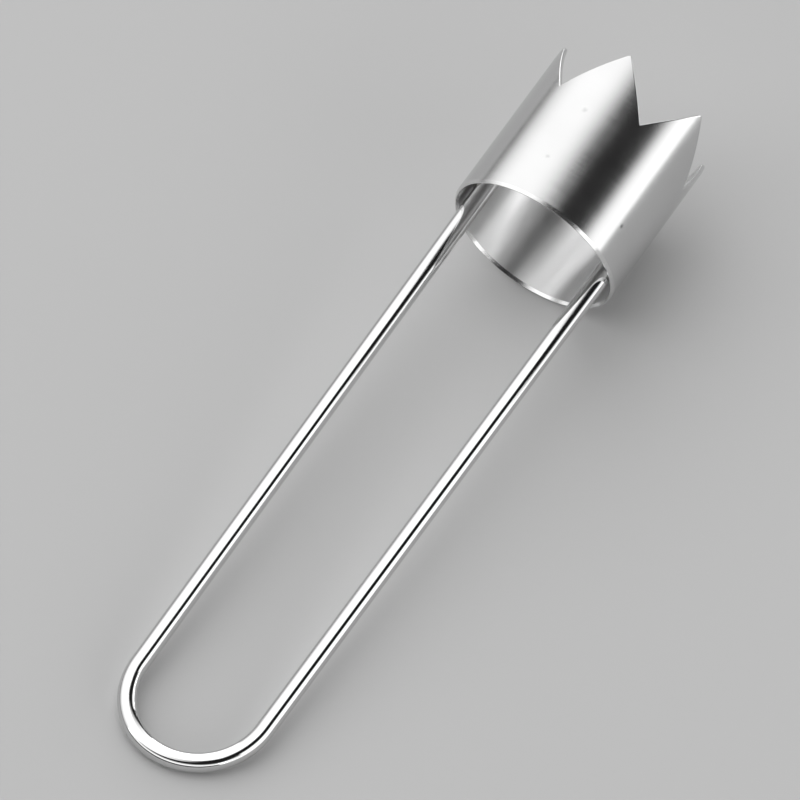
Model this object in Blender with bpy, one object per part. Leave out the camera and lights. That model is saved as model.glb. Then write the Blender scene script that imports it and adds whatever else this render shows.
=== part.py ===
"""Vegetable corer: a toothed steel ring on a handle of bent wire.

While it is modelled, the ring's axis is Y. Its teeth point along +Y, the handle runs along -Y,
and the two legs of the handle lie side by side along X. The finished tool is then tipped and
lifted onto Z = 0, the way it lies on a table: on the lowest point of its plain rim and on the
bend of its handle. The origin is under the middle of its length. All lengths are in metres.
"""
import math

import bmesh
import bpy
from mathutils import Matrix, Vector

# Ring: a thin tube, plain at the handle end and cut into teeth at the other
RING_DIAMETER = 0.0290
RING_WALL = 0.0007
RING_BODY_LENGTH = 0.0206
TOOTH_DEPTH = 0.0090
TOOTH_COUNT = 6
FLATS_PER_TOOTH_FLANK = 12

# Handle: one round wire, bent into a long U whose legs stand against the inside of the ring
WIRE_DIAMETER = 0.0030
WIRE_SIDES = 16
HANDLE_REACH = 0.1054
BEND_RADIUS = 0.01125
BEND_STEPS = 32
LEG_SEAT_LENGTH = 0.0160
SEAT_CLEARANCE = 0.0003

# Welds: two on each leg, where the wire is pressed flat against the wall
WELD_WEB_THICKNESS = 0.0003
WELD_LENGTH = 0.0044
WELD_TOE_WIDTH = 0.0008
WELD_SPACING = 0.0060
WELD_END_MARGIN = 0.0030
WELD_SIDES = 24
GAUGE_SIDES = 96
CUT_OVERRUN = 0.0010

# Sizes that follow from those above
RING_RADIUS = RING_DIAMETER / 2
BORE_RADIUS = RING_RADIUS - RING_WALL
WIRE_RADIUS = WIRE_DIAMETER / 2
LEG_OFFSET = BORE_RADIUS - SEAT_CLEARANCE - WIRE_RADIUS
BEND_CENTRE = HANDLE_REACH - WIRE_RADIUS - BEND_RADIUS
PRESSED_DEPTH = WELD_WEB_THICKNESS + SEAT_CLEARANCE

ROUND_EDGE_ANGLE = math.radians(30)
Y_AXIS = Vector((0, 1, 0))


def clear_scene():
    for item in list(bpy.data.objects):
        bpy.data.objects.remove(item, do_unlink=True)


def steel(name, colour, roughness):
    """A bare metal with its colour, and how far it blurs what it mirrors."""
    material = bpy.data.materials.new(name)
    material.use_nodes = True
    shader = material.node_tree.nodes["Principled BSDF"]
    shader.inputs["Base Color"].default_value = (*colour, 1)
    shader.inputs["Roughness"].default_value = roughness
    shader.inputs["Metallic"].default_value = 1
    return material


def new_object(name, bm, parent, material=None):
    """Makes an object of a finished bmesh and hangs it on its parent."""
    bmesh.ops.recalc_face_normals(bm, faces=bm.faces[:])
    mesh = bpy.data.meshes.new(name)
    bm.to_mesh(mesh)
    bm.free()
    mesh.shade_smooth()
    mesh.set_sharp_from_angle(angle=ROUND_EDGE_ANGLE)
    if material:
        mesh.materials.append(material)
    item = bpy.data.objects.new(name, mesh)
    bpy.context.scene.collection.objects.link(item)
    item.parent = parent
    return item


def new_cutter(name, bm, parent):
    """A tool for the cuts, which is no piece of the corer itself."""
    item = new_object(name, bm, parent)
    item.display_type = "WIRE"
    item.hide_render = True
    return item


def cut(item, cutter, operation="DIFFERENCE"):
    modifier = item.modifiers.new(cutter.name, "BOOLEAN")
    modifier.operation = operation
    modifier.object = cutter


def table_tilt():
    """Angle by which the axis rises towards the teeth when rim and bend both touch the table."""
    bend_end = HANDLE_REACH - WIRE_RADIUS
    slant = math.hypot(RING_RADIUS, bend_end)
    return math.acos(WIRE_RADIUS / slant) - math.atan2(bend_end, RING_RADIUS)


def table_pose():
    """The empty that carries the tool: its origin is the middle of the plain rim."""
    tilt = table_tilt()
    tooth_end = (RING_BODY_LENGTH + TOOTH_DEPTH) * math.cos(tilt) + RING_RADIUS * math.sin(tilt)
    handle_end = (HANDLE_REACH - WIRE_RADIUS) * math.cos(tilt) + WIRE_RADIUS
    pose = bpy.data.objects.new("table_pose", None)
    bpy.context.scene.collection.objects.link(pose)
    pose.rotation_euler.x = tilt
    pose.location = (0, (handle_end - tooth_end) / 2, RING_RADIUS * math.cos(tilt))
    return pose


def tooth_height(angle):
    """Height above the ring's body, at an angle from a tooth's tip: straight flanks between
    sharp tips and sharp bottoms, in the unrolled wall."""
    pitch = 2 * math.pi / TOOTH_COUNT
    turns = angle / pitch
    from_tip_share = abs(turns - round(turns)) * 2
    return TOOTH_DEPTH * (1 - from_tip_share)


def build_ring(pose, material):
    """The wall's section is turned into a tube, and its far edge is then drawn into teeth."""
    bm = bmesh.new()
    corners = [(BORE_RADIUS, 0), (RING_RADIUS, 0),
               (RING_RADIUS, RING_BODY_LENGTH), (BORE_RADIUS, RING_BODY_LENGTH)]
    section = [bm.verts.new((0, y, z)) for z, y in corners]
    edges = [bm.edges.new((section[i - 1], section[i])) for i in range(len(section))]
    bmesh.ops.spin(bm, geom=section + edges, cent=(0, 0, 0), axis=Y_AXIS, angle=2 * math.pi,
                   steps=TOOTH_COUNT * FLATS_PER_TOOTH_FLANK * 2, use_merge=True)
    for vert in bm.verts:
        if vert.co.y > RING_BODY_LENGTH / 2:
            vert.co.y += tooth_height(math.atan2(vert.co.x, vert.co.z))
    return new_object("cutter_ring", bm, pose, material)


def draw_on(bm, edges, move, turn=0):
    """Extrudes the wire's open end by a move, and turns the new end in the handle's plane."""
    drawn = bmesh.ops.extrude_edge_only(bm, edges=edges)["geom"]
    verts = [item for item in drawn if isinstance(item, bmesh.types.BMVert)]
    bmesh.ops.translate(bm, verts=verts, vec=move)
    middle = sum((vert.co for vert in verts), Vector()) / len(verts)
    bmesh.ops.rotate(bm, verts=verts, cent=middle, matrix=Matrix.Rotation(turn, 3, "Z"))
    return [item for item in drawn if isinstance(item, bmesh.types.BMEdge)]


def build_handle(pose, material):
    """One round section drawn down the right leg, round the bend and up the left leg. The
    legs are straight against the ring, and lean in a little from its rim to the bend."""
    to_centre = math.hypot(LEG_OFFSET, BEND_CENTRE)
    lean = math.atan2(LEG_OFFSET, BEND_CENTRE) - math.asin(BEND_RADIUS / to_centre)
    leg_end = Vector((LEG_OFFSET, LEG_SEAT_LENGTH, 0))
    at_rim = Vector((LEG_OFFSET, 0, 0))
    at_bend = Vector((BEND_RADIUS * math.cos(lean), -BEND_CENTRE - BEND_RADIUS * math.sin(lean), 0))
    mirrored = Vector((-1, 1, 1))

    bm = bmesh.new()
    facing = Matrix.Translation(leg_end) @ Matrix.Rotation(math.pi / 2, 4, "X")
    bmesh.ops.create_circle(bm, segments=WIRE_SIDES, radius=WIRE_RADIUS, matrix=facing)
    edges = draw_on(bm, bm.edges[:], at_rim - leg_end)
    edges = draw_on(bm, edges, at_bend - at_rim, -lean)
    verts = list({vert for edge in edges for vert in edge.verts})
    spun = bmesh.ops.spin(bm, geom=verts + edges, cent=(0, -BEND_CENTRE, 0), axis=(0, 0, -1),
                          angle=math.pi - 2 * lean, steps=BEND_STEPS)["geom_last"]
    edges = [item for item in spun if isinstance(item, bmesh.types.BMEdge)]
    edges = draw_on(bm, edges, (at_rim - at_bend) * mirrored, -lean)
    draw_on(bm, edges, (leg_end - at_rim) * mirrored)
    bmesh.ops.holes_fill(bm, edges=[edge for edge in bm.edges if edge.is_boundary])
    return new_object("wire_handle", bm, pose, material)


def weld_places():
    """Name, side and distance from the rim of each weld, left and right, teeth end first."""
    front = LEG_SEAT_LENGTH - WELD_END_MARGIN
    rear = front - WELD_SPACING
    return [(f"weld_{side}_{end}", sign, y)
            for side, sign in (("left", -1), ("right", 1))
            for end, y in (("front", front), ("rear", rear))]


def flat_cutter(name, sign, y, pose):
    """A block that takes the pressed flat off the wire, a clearance longer than its weld."""
    length = WELD_LENGTH + 2 * SEAT_CLEARANCE
    flat_x = LEG_OFFSET + WIRE_RADIUS - PRESSED_DEPTH
    depth = PRESSED_DEPTH + CUT_OVERRUN
    width = WIRE_DIAMETER + 2 * CUT_OVERRUN
    bm = bmesh.new()
    bmesh.ops.create_cube(bm, size=1, matrix=Matrix.Diagonal((depth, length, width, 1)))
    cutter = new_cutter(name, bm, pose)
    cutter.location = (sign * (flat_x + depth / 2), y, 0)
    return cutter


def rod(radius, length, sides):
    """A round rod along Y, centred on the origin."""
    bm = bmesh.new()
    bmesh.ops.create_cone(bm, cap_ends=True, segments=sides, radius1=radius, radius2=radius,
                          depth=length, matrix=Matrix.Rotation(math.pi / 2, 4, "X"))
    return bm


def bore_gauge(pose):
    """The space inside the ring's wall, less the clearance that the welds keep to it."""
    length = RING_BODY_LENGTH + 2 * CUT_OVERRUN
    gauge = new_cutter("bore_gauge", rod(BORE_RADIUS - SEAT_CLEARANCE, length, GAUGE_SIDES), pose)
    gauge.location.y = RING_BODY_LENGTH / 2
    return gauge


def leg_gauge(side, sign, pose):
    """The pressed wire and a clearance all round it, as a rod with a flat towards the wall."""
    flat_x = WIRE_RADIUS - PRESSED_DEPTH + SEAT_CLEARANCE
    length = LEG_SEAT_LENGTH + 2 * CUT_OVERRUN
    bm = rod(WIRE_RADIUS + SEAT_CLEARANCE, length, WELD_SIDES)
    everything = bm.verts[:] + bm.edges[:] + bm.faces[:]
    bmesh.ops.bisect_plane(bm, geom=everything, plane_co=(flat_x, 0, 0), plane_no=(1, 0, 0),
                           clear_outer=True)
    bmesh.ops.holes_fill(bm, edges=[edge for edge in bm.edges if edge.is_boundary])
    gauge = new_cutter(f"leg_gauge_{side}", bm, pose)
    gauge.location = (sign * LEG_OFFSET, LEG_SEAT_LENGTH / 2, 0)
    if sign < 0:
        gauge.rotation_euler.y = math.pi
    return gauge


def build_weld(name, sign, y, pose, material):
    """Weld metal squeezed out between wire and wall: a low dome on the wall, hollowed by the
    wire, that climbs both of the wire's flanks and runs under its pressed flat."""
    dome = Matrix.Diagonal((BORE_RADIUS - LEG_OFFSET, WELD_LENGTH / 2,
                            WIRE_RADIUS + SEAT_CLEARANCE + WELD_TOE_WIDTH, 1))
    bm = bmesh.new()
    bmesh.ops.create_uvsphere(bm, u_segments=WELD_SIDES, v_segments=WELD_SIDES // 2, radius=1,
                              matrix=dome)
    weld = new_object(name, bm, pose, material)
    weld.location = (sign * BORE_RADIUS, y, 0)
    return weld


def build_corer():
    clear_scene()
    satin_steel = steel("satin_steel", (0.60, 0.60, 0.60), 0.30)
    polished_steel = steel("polished_steel", (0.72, 0.72, 0.72), 0.08)
    weld_steel = steel("weld_steel", (0.42, 0.41, 0.40), 0.45)

    pose = table_pose()
    build_ring(pose, satin_steel)
    handle = build_handle(pose, polished_steel)
    bore = bore_gauge(pose)
    legs = {-1: leg_gauge("left", -1, pose), 1: leg_gauge("right", 1, pose)}
    for name, sign, y in weld_places():
        cut(handle, flat_cutter(f"flat_for_{name}", sign, y, pose))
        weld = build_weld(name, sign, y, pose, weld_steel)
        cut(weld, bore, "INTERSECT")
        cut(weld, legs[sign])
    bpy.context.view_layer.update()


build_corer()
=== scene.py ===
import math

import bmesh
import bpy
from mathutils import Matrix, Vector


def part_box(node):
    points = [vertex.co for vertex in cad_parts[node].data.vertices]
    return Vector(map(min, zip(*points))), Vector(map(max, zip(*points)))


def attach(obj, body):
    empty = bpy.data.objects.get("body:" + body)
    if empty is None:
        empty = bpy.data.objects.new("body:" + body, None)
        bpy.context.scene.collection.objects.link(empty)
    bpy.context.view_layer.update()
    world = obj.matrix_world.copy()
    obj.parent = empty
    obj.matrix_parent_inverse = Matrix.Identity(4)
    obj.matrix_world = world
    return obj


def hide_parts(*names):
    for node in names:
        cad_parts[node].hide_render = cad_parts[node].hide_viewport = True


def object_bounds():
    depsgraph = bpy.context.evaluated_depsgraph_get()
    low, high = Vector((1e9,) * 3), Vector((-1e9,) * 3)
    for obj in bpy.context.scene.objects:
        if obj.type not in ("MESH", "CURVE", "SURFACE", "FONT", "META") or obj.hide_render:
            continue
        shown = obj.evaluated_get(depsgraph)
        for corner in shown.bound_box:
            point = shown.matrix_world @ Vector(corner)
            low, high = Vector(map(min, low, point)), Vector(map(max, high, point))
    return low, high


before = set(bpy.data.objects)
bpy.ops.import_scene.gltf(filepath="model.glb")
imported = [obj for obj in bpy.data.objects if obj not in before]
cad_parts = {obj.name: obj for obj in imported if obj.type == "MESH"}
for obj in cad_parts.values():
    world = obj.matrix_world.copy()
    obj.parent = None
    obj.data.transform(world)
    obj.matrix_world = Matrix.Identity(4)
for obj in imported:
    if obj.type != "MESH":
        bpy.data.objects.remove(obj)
cad_low, cad_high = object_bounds()


# Camera
# The corer is seen from above, over the right leg of its handle, through a long lens, so that
# its two legs hardly close in. The camera looks at a point on the table beside the handle.
camera_azimuth = math.radians(32.82)
camera_elevation = math.radians(52.73)
camera_roll = math.radians(0.27)
camera_distance = 1.3105
camera_target = Vector((-0.0068, 0.0097, 0))
camera_lens_mm = 382.5
camera_sensor_mm = 36

camera_data = bpy.data.cameras.new("camera")
camera_data.lens = camera_lens_mm
camera_data.sensor_width = camera_sensor_mm
camera = bpy.data.objects.new("camera", camera_data)
bpy.context.scene.collection.objects.link(camera)
towards_camera = Vector((math.sin(camera_azimuth) * math.cos(camera_elevation),
                         -math.cos(camera_azimuth) * math.cos(camera_elevation),
                         math.sin(camera_elevation)))
facing = towards_camera.to_track_quat("Z", "Y").to_matrix().to_4x4()
camera.matrix_world = (Matrix.Translation(camera_target + towards_camera * camera_distance)
                       @ facing @ Matrix.Rotation(camera_roll, 4, "Z"))
bpy.context.scene.camera = camera
bpy.context.scene.view_settings.view_transform = "Standard"


# Table and studio light
# The corer lies on a plain pale matt table in a dim room. A wide soft box hangs over it on the
# left. Low ones stand on the right, in front of the handle and, in a pair, behind the ring. The
# dark gap above the right one shows in the steel as its dark stripe, and two strip lights narrow
# that gap along the handle. The gap under the front one draws a thin dark line round the bend.
table_size = 6.0
table_colour = (0.49, 0.49, 0.49, 1)
table_roughness = 0.9
table_specular = 0.2
room_colour = (1, 1, 1, 1)
room_strength = 0.015
box_distance = 0.6
box_reach = (-0.6, 1.8)
strip_distance = 0.3
strip_reach = (-0.15, 0.118)
front_reach = (-0.8, 0.8)
rear_left_reach = (0.15, 0.9)
rear_right_reach = (-0.9, -0.15)
lamp_radiance = 1.6
left_box_glow = [(-90, 0.15), (-48, 1.0), (-24, 1.0), (11, 0.0)]
left_strip_glow = [(-24, 0.0), (11, 1.0), (14, 1.0), (20, 0.0)]
right_strip_glow = [(47, 0.0), (53, 0.9), (57, 0.9), (72, 0.0)]
right_box_glow = [(52, 0.0), (73, 1.0), (90, 1.2)]
front_box_glow = [(55, 0.0), (70, 0.9), (77, 1.1), (81, 0.0)]
rear_box_glow = [(55, 0.0), (72, 0.9), (90, 1.2)]

bm = bmesh.new()
bmesh.ops.create_grid(bm, x_segments=1, y_segments=1, size=table_size / 2)
table_mesh = bpy.data.meshes.new("table")
bm.to_mesh(table_mesh)
bm.free()
table_paint = bpy.data.materials.new("table_paint")
table_paint.use_nodes = True
paint_shader = table_paint.node_tree.nodes["Principled BSDF"]
paint_shader.inputs["Base Color"].default_value = table_colour
paint_shader.inputs["Roughness"].default_value = table_roughness
paint_shader.inputs["Specular IOR Level"].default_value = table_specular
table_mesh.materials.append(table_paint)
table = bpy.data.objects.new("table", table_mesh)
bpy.context.scene.collection.objects.link(table)

world = bpy.data.worlds.new("room")
world.use_nodes = True
room_light = world.node_tree.nodes["Background"]
room_light.inputs["Color"].default_value = room_colour
room_light.inputs["Strength"].default_value = room_strength
bpy.context.scene.world = world


def soft_box(name, glow, distance, reach, turn=0):
    """A long lamp beside the corer, turned about it, that reaches from one place along it to
    another. Its glow is a list of angles, from overhead to the right, and the levels there."""
    start = math.radians(glow[0][0])
    end = math.radians(glow[-1][0])
    middle = (start + end) / 2
    half_spread = math.tan((end - start) / 2)
    lamp = bpy.data.lights.new(name, "AREA")
    lamp.shape = "RECTANGLE"
    lamp.size = 2 * distance * half_spread
    lamp.size_y = reach[1] - reach[0]
    lamp.energy = lamp_radiance * math.pi * lamp.size * lamp.size_y
    lamp.use_nodes = True
    nodes = lamp.node_tree.nodes
    links = lamp.node_tree.links
    cloth = nodes.new("ShaderNodeNewGeometry")
    across = nodes.new("ShaderNodeSeparateXYZ")
    fade = nodes.new("ShaderNodeValToRGB")
    fade.color_ramp.interpolation = "EASE"
    stops = fade.color_ramp.elements
    while len(stops) < len(glow):
        stops.new(0.5)
    for stop, (angle, level) in zip(stops, glow):
        stop.position = 0.5 + math.tan(math.radians(angle) - middle) / (2 * half_spread)
        stop.color = (level, level, level, 1)
    links.new(cloth.outputs["Parametric"], across.inputs["Vector"])
    links.new(across.outputs["X"], fade.inputs["Fac"])
    links.new(fade.outputs["Color"], nodes["Emission"].inputs["Color"])
    item = bpy.data.objects.new(name, lamp)
    item.matrix_world = (Matrix.Rotation(turn, 4, "Z")
                         @ Matrix.Translation((0, (reach[0] + reach[1]) / 2, 0))
                         @ Matrix.Rotation(middle, 4, "Y")
                         @ Matrix.Translation((0, 0, distance)))
    item.visible_camera = False
    bpy.context.scene.collection.objects.link(item)


soft_box("left_soft_box", left_box_glow, box_distance, box_reach)
soft_box("left_strip_light", left_strip_glow, strip_distance, strip_reach)
soft_box("right_strip_light", right_strip_glow, strip_distance, strip_reach)
soft_box("right_soft_box", right_box_glow, box_distance, box_reach)
soft_box("front_soft_box", front_box_glow, box_distance, front_reach, -math.pi / 2)
soft_box("rear_left_soft_box", rear_box_glow, box_distance, rear_left_reach, math.pi / 2)
soft_box("rear_right_soft_box", rear_box_glow, box_distance, rear_right_reach, math.pi / 2)


# Cutter ring
# A piece of thin stainless steel tube, polished to an even satin outside and brushed round inside.
# The end by the handle is cut square and chamfered on both sides. The other end is cut into six
# saw teeth with blunt tips, whose edges are ground bright.
ring_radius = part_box("cutter_ring")[1].x
ring_wall = 0.0007
ring_body = 0.0206
tooth_depth = 0.0090
tooth_count = 6
tip_radius = 0.00045
tooth_edge_round = 0.00013
rim_chamfer = 0.00028
rim_chamfer_depth = 0.0005
flats_per_flank = 60
strip_under_cut = 0.0004
cut_edge_angle = math.radians(70)
wall_facing = 0.98
ring_crease = math.radians(26)
wire_radius = 0.0015
handle_reach = 0.1054

turning_lines = (160, 4500, 160)
turning_depth = 0.0000006
satin_clouds = (70, 70, 70)
satin_greys = ((0.585, 0.585, 0.585, 1), (0.615, 0.615, 0.615, 1))
satin_roughness = (0.165, 0.215)
turning_roughness = (-0.02, 0.02)
dull_grey = (0.42, 0.42, 0.42, 1)
pit_grey = (0.08, 0.08, 0.08, 1)
ring_marks = [((-0.0008, 0.0176, 0.0145), 0.0006, 0.0005, dull_grey, 0.5),
              ((-0.0012, 0.0076, 0.0145), 0.0005, 0.0005, dull_grey, 0.5),
              ((0.0126, 0.0063, 0.0072), 0.00045, 0.0004, pit_grey, 0.85)]
bore_clouds = (90, 90, 90)
# The bore's greys are lighter than the same steel outside: painted light inside the bore.
painted_light_bore_greys = ((0.75, 0.75, 0.75, 1), (0.79, 0.79, 0.79, 1))
bore_roughness = (0.31, 0.34)
grind_marks = (5000, 5000, 5000)
ground_greys = ((0.66, 0.66, 0.66, 1), (0.74, 0.74, 0.74, 1))
ground_roughness = (0.14, 0.24)

bend_end = handle_reach - wire_radius
tilt = (math.acos(wire_radius / math.hypot(ring_radius, bend_end))
        - math.atan2(bend_end, ring_radius))
tooth_end = (ring_body + tooth_depth) * math.cos(tilt) + ring_radius * math.sin(tilt)
rim_centre = Vector((0, cad_high.y - tooth_end, ring_radius * math.cos(tilt)))
lying = Matrix.Translation(rim_centre) @ Matrix.Rotation(tilt, 4, "X")
bore_radius = ring_radius - ring_wall
half_pitch = math.pi * ring_radius / tooth_count
flank_angle = (math.atan2(tooth_depth - tip_radius, half_pitch)
               + math.asin(tip_radius / math.hypot(half_pitch, tooth_depth - tip_radius)))


def finish_piece(name, bm, materials, sharp_angle, slot, *nodes):
    """Lays a finished bmesh on the table as a piece that stands for its solids in the frame."""
    bmesh.ops.transform(bm, matrix=lying, verts=bm.verts)
    mesh = bpy.data.meshes.new(name)
    bm.to_mesh(mesh)
    bm.free()
    mesh.shade_smooth()
    mesh.set_sharp_from_angle(angle=sharp_angle)
    for material in materials:
        mesh.materials.append(material)
    piece = bpy.data.objects.new(name, mesh)
    bpy.context.scene.collection.objects.link(piece)
    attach(piece, "root")
    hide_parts(*nodes)


def bare_steel(name):
    """Plain metal, before its colour, gloss and marks."""
    material = bpy.data.materials.new(name)
    material.use_nodes = True
    shader = material.node_tree.nodes["Principled BSDF"]
    shader.inputs["Metallic"].default_value = 1
    return material, shader


def set_inputs(material, node, inputs):
    """Sets inputs, each given by its name or number, to a value or to another node's output."""
    for name, value in inputs.items():
        if isinstance(value, bpy.types.NodeSocket):
            material.node_tree.links.new(value, node.inputs[name])
        else:
            node.inputs[name].default_value = value


def add_node(material, kind, inputs, **settings):
    """Adds a node, with its settings made before its inputs."""
    node = material.node_tree.nodes.new(kind)
    for name, value in settings.items():
        setattr(node, name, value)
    set_inputs(material, node, inputs)
    return node


def place_on_ring(material):
    """The place on the steel, measured from the middle of the rim along the ring's own axes."""
    on_table = add_node(material, "ShaderNodeTexCoord", {}).outputs["Object"]
    place = add_node(material, "ShaderNodeMapping", {"Vector": on_table, "Location": rim_centre,
                                                     "Rotation": (tilt, 0, 0)},
                     vector_type="TEXTURE")
    return place.outputs["Vector"]


def streaks(material, place, per_metre, detail=2):
    """Cloudy grey from 0 to 1, drawn out where there are few clouds per metre."""
    stretched = add_node(material, "ShaderNodeVectorMath", {0: place, 1: per_metre},
                         operation="MULTIPLY")
    clouds = add_node(material, "ShaderNodeTexNoise", {"Vector": stretched.outputs[0], "Scale": 1,
                                                       "Detail": detail})
    return clouds.outputs["Fac"]


def computed(material, operation, *amounts):
    """What a sum or product of amounts comes to at each place."""
    node = add_node(material, "ShaderNodeMath", dict(enumerate(amounts)), operation=operation)
    return node.outputs[0]


def between(material, amount, low, high, from_low=0.3, from_high=0.7):
    """Spreads an amount over a new range. Streaks lie mostly from 0.3 to 0.7 before that."""
    spread = add_node(material, "ShaderNodeMapRange",
                      {"Value": amount, "From Min": from_low, "From Max": from_high,
                       "To Min": low, "To Max": high})
    return spread.outputs["Result"]


def mixed_colour(material, amount, first, second):
    """Goes from one colour to another as an amount goes from 0 to 1."""
    mixed = add_node(material, "ShaderNodeMix", {"Factor": amount, 6: first, 7: second},
                     data_type="RGBA")
    return mixed.outputs[2]


def scratch_bump(material, height, depth):
    """Unevenness too fine for the mesh, as deep as the height from 0 to 1 times the depth."""
    bump = add_node(material, "ShaderNodeBump", {"Height": height, "Distance": depth,
                                                 "Strength": 1})
    return bump.outputs["Normal"]


def spot(material, place, centre, radius, ragged):
    """1 in the middle of a small spot with a ragged edge, and 0 outside it."""
    away = add_node(material, "ShaderNodeVectorMath", {0: place, 1: centre}, operation="DISTANCE")
    edge = streaks(material, place, (1 / ragged, 1 / ragged, 1 / ragged))
    wobble = computed(material, "MULTIPLY_ADD", edge, radius, away.outputs["Value"])
    full_up_to = radius * 0.6
    gone_from = radius * 1.5
    return between(material, wobble, 1, 0, full_up_to, gone_from)


satin_steel, shader = bare_steel("satin_steel")
place = place_on_ring(satin_steel)
clouds = streaks(satin_steel, place, satin_clouds, detail=3)
lines = streaks(satin_steel, place, turning_lines)
colour = mixed_colour(satin_steel, between(satin_steel, clouds, 0, 1), *satin_greys)
for centre, radius, ragged, mark_colour, strength in ring_marks:
    mark = spot(satin_steel, place, centre, radius, ragged)
    amount = computed(satin_steel, "MULTIPLY", mark, strength)
    colour = mixed_colour(satin_steel, amount, colour, mark_colour)
roughness = computed(satin_steel, "ADD", between(satin_steel, clouds, *satin_roughness),
                     between(satin_steel, lines, *turning_roughness))
set_inputs(satin_steel, shader, {"Base Color": colour, "Roughness": roughness,
                                 "Normal": scratch_bump(satin_steel, lines, turning_depth)})

# The brushing runs round the bore and draws out what it mirrors along the ring. That direction is
# linked, because the shader doesn't use a plain value there.
bore_steel, shader = bare_steel("bore_steel")
place = place_on_ring(bore_steel)
clouds = streaks(bore_steel, place, bore_clouds, detail=3)
lines = streaks(bore_steel, place, turning_lines)
# Painted light: the bore is coloured lighter than the same steel outside, to brighten it.
colour = mixed_colour(bore_steel, between(bore_steel, clouds, 0, 1), *painted_light_bore_greys)
along_ring = add_node(bore_steel, "ShaderNodeCombineXYZ", {"Y": math.cos(tilt),
                                                           "Z": math.sin(tilt)})
set_inputs(bore_steel, shader, {"Base Color": colour,
                                "Roughness": between(bore_steel, clouds, *bore_roughness),
                                "Normal": scratch_bump(bore_steel, lines, turning_depth),
                                "Anisotropic": 1, "Tangent": along_ring.outputs["Vector"]})

ground_steel, shader = bare_steel("ground_steel")
marks = streaks(ground_steel, place_on_ring(ground_steel), grind_marks)
colour = mixed_colour(ground_steel, between(ground_steel, marks, 0, 1), *ground_greys)
set_inputs(ground_steel, shader, {"Base Color": colour,
                                  "Roughness": between(ground_steel, marks, *ground_roughness)})


def tooth_height(angle):
    """Height over the ring's body, at an angle from a tooth's tip: straight flanks in the
    unrolled wall, sharp bottoms and rounded tips."""
    turns = angle * tooth_count / (2 * math.pi)
    from_tip = abs(turns - round(turns)) * 2 * half_pitch
    if from_tip < tip_radius * math.sin(flank_angle):
        return tooth_depth - tip_radius + math.sqrt(tip_radius ** 2 - from_tip ** 2)
    return (half_pitch - from_tip) * math.tan(flank_angle)


# A narrow strip of wall lies under the cut, so that the rounding of its edges has room.
bm = bmesh.new()
corners = [(ring_radius, rim_chamfer_depth), (ring_radius, ring_body - strip_under_cut),
           (ring_radius, ring_body), (bore_radius, ring_body),
           (bore_radius, ring_body - strip_under_cut), (bore_radius, rim_chamfer_depth),
           (bore_radius + rim_chamfer, 0), (ring_radius - rim_chamfer, 0)]
section = [bm.verts.new((0, y, z)) for z, y in corners]
edges = [bm.edges.new((section[i - 1], section[i])) for i in range(len(section))]
bmesh.ops.spin(bm, geom=section + edges, cent=(0, 0, 0), axis=(0, 1, 0), angle=2 * math.pi,
               steps=tooth_count * flats_per_flank * 2, use_merge=True)
for vert in bm.verts:
    if vert.co.y > ring_body / 2:
        vert.co.y += tooth_height(math.atan2(vert.co.x, vert.co.z))
bmesh.ops.recalc_face_normals(bm, faces=bm.faces[:])

# The two edges of the cut run round the ring in short steps. The longer edges across the wall,
# at the bottoms of the teeth, stay sharp.
cut_edges = [edge for edge in bm.edges if edge.calc_face_angle() > cut_edge_angle
             and edge.calc_length() < ring_wall / 2]
bmesh.ops.bevel(bm, geom=cut_edges, offset=tooth_edge_round, affect="EDGES", segments=4,
                profile=0.5, material=-1)
ring_finishes = [satin_steel, bore_steel, ground_steel]
for face in bm.faces:
    middle = face.calc_center_median()
    outward = Vector((middle.x, 0, middle.z)).normalized().dot(face.normal)
    if outward < -wall_facing:
        face.material_index = ring_finishes.index(bore_steel)
    elif outward < wall_facing:
        face.material_index = ring_finishes.index(ground_steel)
finish_piece("ring", bm, ring_finishes, ring_crease, "ring_steel", "cutter_ring")


# Wire handle
# One stainless steel wire, bent into a long U and polished. Its legs stand straight against the
# inside of the ring and lean in a little from the rim to the bend. Their cut ends are chamfered.
wire_sides = 48
bend_radius = 0.01125
bend_steps = 96
leg_seat = 0.0160
seat_clearance = 0.0003
end_chamfer = 0.0003
cut_end_angle = math.radians(60)
wire_crease = math.radians(30)

polish_smears = (300, 300, 45)
wire_greys = ((0.64, 0.64, 0.64, 1), (0.68, 0.68, 0.68, 1))
wire_roughness = (0.07, 0.12)
drawing_lines = (6000, 6000, 70)
drawing_depth = 0.0000008
drawing_roughness = (-0.02, 0.02)

leg_offset = bore_radius - seat_clearance - wire_radius
bend_centre = bend_end - bend_radius
lean = (math.atan2(leg_offset, bend_centre)
        - math.asin(bend_radius / math.hypot(leg_offset, bend_centre)))


def draw_on(bm, edges, move, turn=0):
    """Draws the wire on by a move, and turns its new end in the plane of the handle."""
    drawn = bmesh.ops.extrude_edge_only(bm, edges=edges)["geom"]
    verts = [item for item in drawn if isinstance(item, bmesh.types.BMVert)]
    bmesh.ops.translate(bm, verts=verts, vec=move)
    middle = sum((vert.co for vert in verts), Vector()) / len(verts)
    bmesh.ops.rotate(bm, verts=verts, cent=middle, matrix=Matrix.Rotation(turn, 3, "Z"))
    return [item for item in drawn if isinstance(item, bmesh.types.BMEdge)]


def before_bending(point):
    """Where a point of the handle lay in the straight wire: across it, over it and along it."""
    side = math.copysign(1, point.x)
    out = abs(point.x)
    down = -point.y - bend_centre
    turn = math.atan2(out, down)
    if turn < math.pi / 2 - lean:
        return Vector((math.hypot(out, down) - bend_radius, point.z, side * bend_radius * turn))
    across = out * math.cos(lean) + down * math.sin(lean) - bend_radius
    along = out * math.sin(lean) - down * math.cos(lean) + bend_radius * (math.pi / 2 - lean)
    return Vector((across, point.z, side * along))


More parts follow.
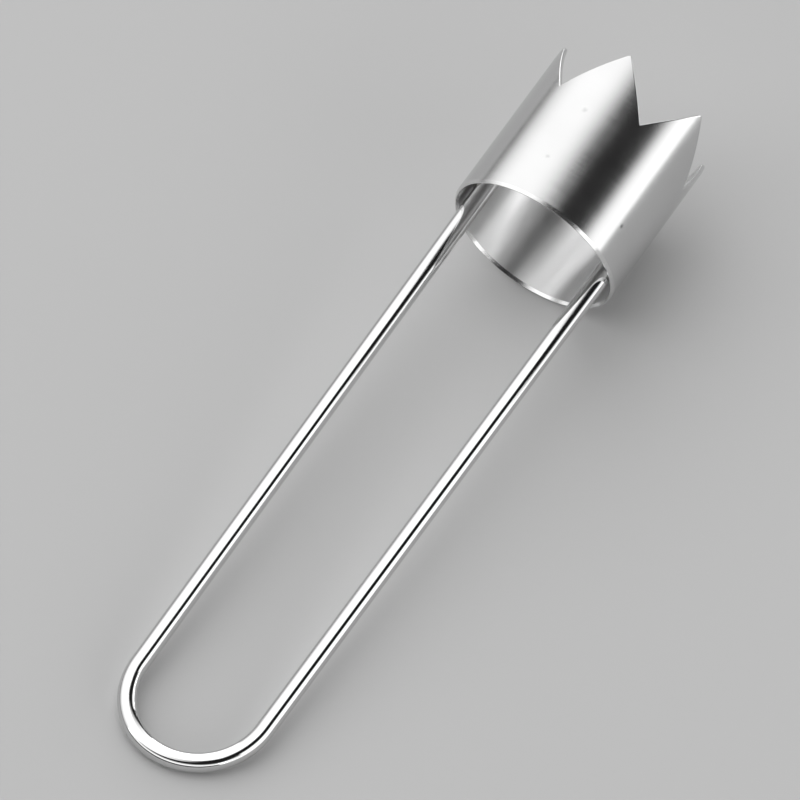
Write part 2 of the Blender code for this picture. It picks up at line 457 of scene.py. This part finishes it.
leg_end = Vector((leg_offset, leg_seat, 0))
at_rim = Vector((leg_offset, 0, 0))
at_bend = Vector((bend_radius * math.cos(lean), -bend_centre - bend_radius * math.sin(lean), 0))
mirrored = Vector((-1, 1, 1))
bm = bmesh.new()
start = Matrix.Translation(leg_end) @ Matrix.Rotation(math.pi / 2, 4, "X")
bmesh.ops.create_circle(bm, segments=wire_sides, radius=wire_radius, matrix=start)
edges = draw_on(bm, bm.edges[:], at_rim - leg_end)
edges = draw_on(bm, edges, at_bend - at_rim, -lean)
verts = list({vert for edge in edges for vert in edge.verts})
spun = bmesh.ops.spin(bm, geom=verts + edges, cent=(0, -bend_centre, 0), axis=(0, 0, -1),
                      angle=math.pi - 2 * lean, steps=bend_steps)["geom_last"]
edges = [item for item in spun if isinstance(item, bmesh.types.BMEdge)]
edges = draw_on(bm, edges, (at_rim - at_bend) * mirrored, -lean)
draw_on(bm, edges, (leg_end - at_rim) * mirrored)
bmesh.ops.holes_fill(bm, edges=[edge for edge in bm.edges if edge.is_boundary])
bmesh.ops.recalc_face_normals(bm, faces=bm.faces[:])
cut_ends = [edge for edge in bm.edges if edge.calc_face_angle() > cut_end_angle]
bmesh.ops.bevel(bm, geom=cut_ends, offset=end_chamfer, affect="EDGES", segments=1, profile=0.5,
                material=-1)
straight_wire = bm.verts.layers.float_vector.new("straight_wire")
for vert in bm.verts:
    vert[straight_wire] = before_bending(vert.co)

polished_steel, shader = bare_steel("polished_steel")
place = add_node(polished_steel, "ShaderNodeAttribute", {}, attribute_name="straight_wire")
place = place.outputs["Vector"]
smears = streaks(polished_steel, place, polish_smears, detail=3)
lines = streaks(polished_steel, place, drawing_lines)
colour = mixed_colour(polished_steel, between(polished_steel, smears, 0, 1), *wire_greys)
roughness = computed(polished_steel, "ADD", between(polished_steel, smears, *wire_roughness),
                     between(polished_steel, lines, *drawing_roughness))
set_inputs(polished_steel, shader, {"Base Color": colour, "Roughness": roughness,
                                    "Normal": scratch_bump(polished_steel, lines, drawing_depth)})
finish_piece("handle", bm, [polished_steel], wire_crease, "wire_steel", "wire_handle")


# Welds
# Each leg is joined to the wall by two small puddles of weld metal, squeezed out on both sides
# of the wire. They run out flat on the wall, have set in ripples, and are left dull.
weld_places = {"weld_left_front": (-1, 0.0130, 65), "weld_left_rear": (-1, 0.0070, 35),
               "weld_right_front": (1, 0.0130, 65), "weld_right_rear": (1, 0.0070, 35)}
weld_size = (0.0019, 0.0019, 0.0023)
weld_root = 0.0002
run_out = 0.35
ripple_height = 0.006
ripple_count = 6
puddle_sides = 96
puddle_rings = 64
weld_crease = math.radians(60)

weld_crust = (1500, 1500, 1500)
crust_colours = ((0.42, 0.41, 0.39, 1), (0.54, 0.53, 0.52, 1))
crust_roughness = (0.55, 0.35)
crust_depth = 0.00003

weld_steel, shader = bare_steel("weld_steel")
crust = streaks(weld_steel, place_on_ring(weld_steel), weld_crust, detail=4)
colour = mixed_colour(weld_steel, between(weld_steel, crust, 0, 1), *crust_colours)
set_inputs(weld_steel, shader, {"Base Color": colour,
                                "Roughness": between(weld_steel, crust, *crust_roughness),
                                "Normal": scratch_bump(weld_steel, crust, crust_depth)})
for name, (side, from_rim, first_ripple) in weld_places.items():
    bm = bmesh.new()
    bmesh.ops.create_uvsphere(bm, u_segments=puddle_sides, v_segments=puddle_rings, radius=1)
    for vert in bm.verts:
        spread = 1 + run_out * max(0, 1 + side * vert.co.x) ** 3
        ripple_phase = ripple_count * (math.pi * vert.co.y + vert.co.z ** 2) + first_ripple
        ripple = 1 + ripple_height * math.sin(ripple_phase)
        vert.co = Vector((vert.co.x, vert.co.y * spread, vert.co.z * spread)) * ripple
    bmesh.ops.scale(bm, verts=bm.verts, vec=weld_size)
    bmesh.ops.translate(bm, verts=bm.verts, vec=(side * bore_radius, from_rim, 0))
    geom = bm.verts[:] + bm.edges[:] + bm.faces[:]
    bmesh.ops.bisect_plane(bm, geom=geom, plane_co=(side * (bore_radius + weld_root), 0, 0),
                           plane_no=(side, 0, 0), clear_outer=True)
    bmesh.ops.holes_fill(bm, edges=[edge for edge in bm.edges if edge.is_boundary])
    bmesh.ops.recalc_face_normals(bm, faces=bm.faces[:])
    finish_piece(name.replace("weld", "puddle"), bm, [weld_steel], weld_crease, "weld_steel", name)
